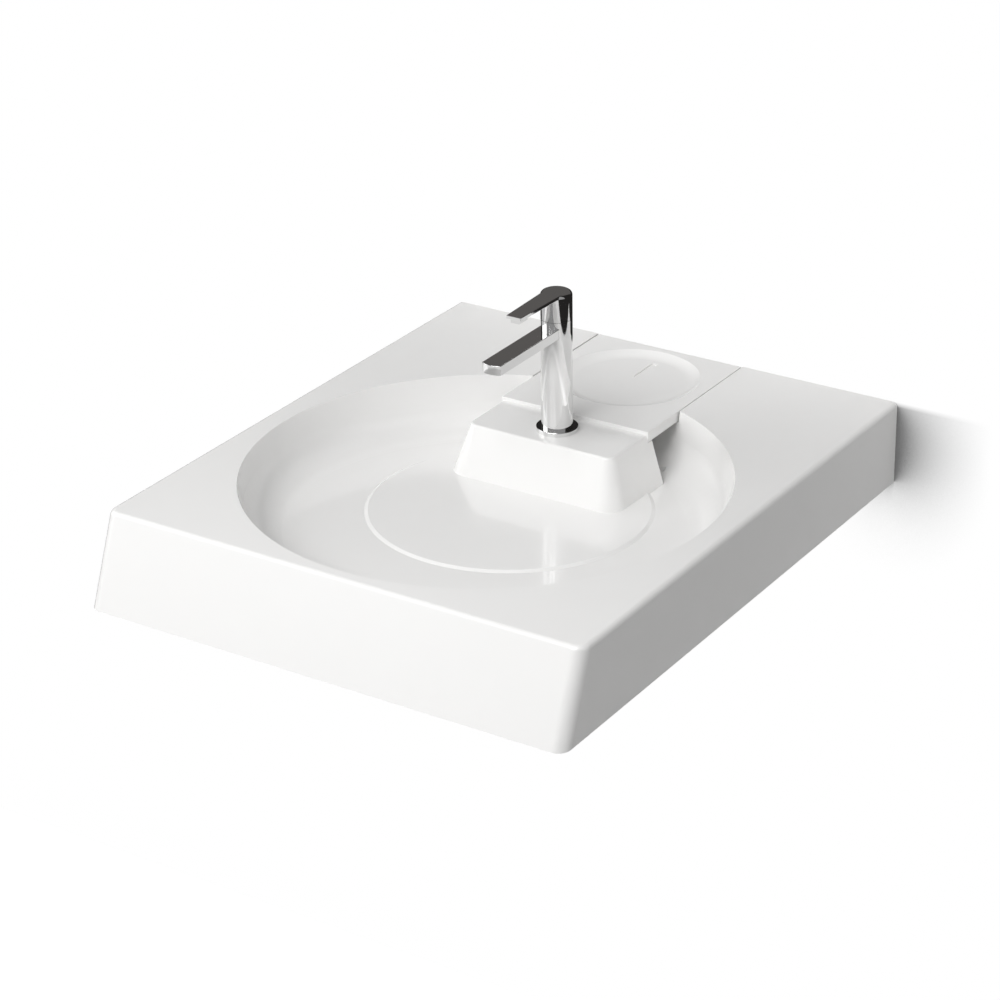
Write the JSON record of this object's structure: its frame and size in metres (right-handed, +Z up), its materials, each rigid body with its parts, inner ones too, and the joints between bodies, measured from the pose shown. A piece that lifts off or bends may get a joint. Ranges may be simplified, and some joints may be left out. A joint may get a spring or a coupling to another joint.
{
  "type": "washing machine basin",
  "caption": "Wall-hung rectangular basin to stand over a washing machine, with a round bowl, a lever tap on an island, a hidden drain under a lift-off soap shelf, and a trap behind.",
  "frame": {"origin": "centre of the rectangle of wall screw holes in the two brackets, on the wall plane", "axes": "+Z up, +Y towards the wall, front of the basin at -Y, +X to the right seen from the front"},
  "size_m": [0.6, 0.728, 0.411],
  "materials": {
    "basin_white": "glossy gel-coated cast mineral",
    "tap_chrome": "polished",
    "zinc_steel": "zinc plated",
    "bright_steel": "polished stainless",
    "brass": "machined",
    "white_plastic": "smooth moulded",
    "grey_plastic": "moulded",
    "white_ceramic": "lapped",
    "black_rubber": "moulded",
    "soft_clear": "soft silicone"
  },
  "bodies": {
    "basin": {"basin": "basin_white", "bracket_left": "zinc_steel", "bracket_right": "zinc_steel", "bracket_bolts": "zinc_steel", "bracket_washers": "zinc_steel", "deck_inserts": "brass", "waste_grid": "bright_steel", "waste_screw": "bright_steel", "waste_top_seal": "black_rubber", "waste_under_seal": "black_rubber", "waste_body": "white_plastic", "trap_head": "white_plastic", "trap_cup": "white_plastic", "trap_cup_seal": "black_rubber", "outlet_pipe": "white_plastic", "hose_spigot": "white_plastic", "spigot_seal": "black_rubber", "spigot_nut": "grey_plastic", "inlet_nut": "grey_plastic", "inlet_seal": "black_rubber", "outlet_nut": "grey_plastic", "outlet_seal": "black_rubber", "tap_body": "tap_chrome", "tap_base_ring": "tap_chrome", "base_seal": "black_rubber", "horseshoe_rubber": "black_rubber", "horseshoe_plate": "zinc_steel", "fixing_stud": "zinc_steel", "stud_nut": "brass", "aerator_housing": "tap_chrome", "aerator_insert": "grey_plastic", "aerator_seal": "black_rubber", "cartridge_housing": "grey_plastic", "cartridge_base": "grey_plastic", "port_seals": "black_rubber", "fixed_disc": "white_ceramic", "cartridge_nut": "brass"},
    "lid": {"shelf_lid": "basin_white", "lid_pads": "soft_clear"},
    "spindle": {"stem_guide": "grey_plastic", "pivot_pin": "bright_steel"},
    "lever": {"handle": "tap_chrome", "cartridge_stem": "brass", "handle_screw": "bright_steel", "index_plug": "grey_plastic"},
    "disc_slide": {"disc_carrier": "grey_plastic", "moving_disc": "white_ceramic"}
  },
  "joints": [
    {"name": "lid_lift", "type": "slide", "parent": "basin", "child": "lid", "axis": [0, 0, 1], "range_m": [0, 0.08]},
    {"name": "lever_turn", "type": "hinge", "parent": "basin", "child": "spindle", "pos_m": [0, -0.254, 0.192], "axis": [0, 0, 1], "range_deg": [-45, 45]},
    {"name": "lever_lift", "type": "hinge", "parent": "spindle", "child": "lever", "pos_m": [0, -0.249, 0.2], "axis": [-1, 0, 0], "range_deg": [0, 20]},
    {"name": "disc_travel", "type": "slide", "parent": "spindle", "child": "disc_slide", "axis": [0, -1, 0], "range_m": [0, 0.0071]}
  ],
  "couplings": [
    {"joint": "disc_travel", "follows": "lever_lift", "m_per_rad": 0.020022}
  ]
}
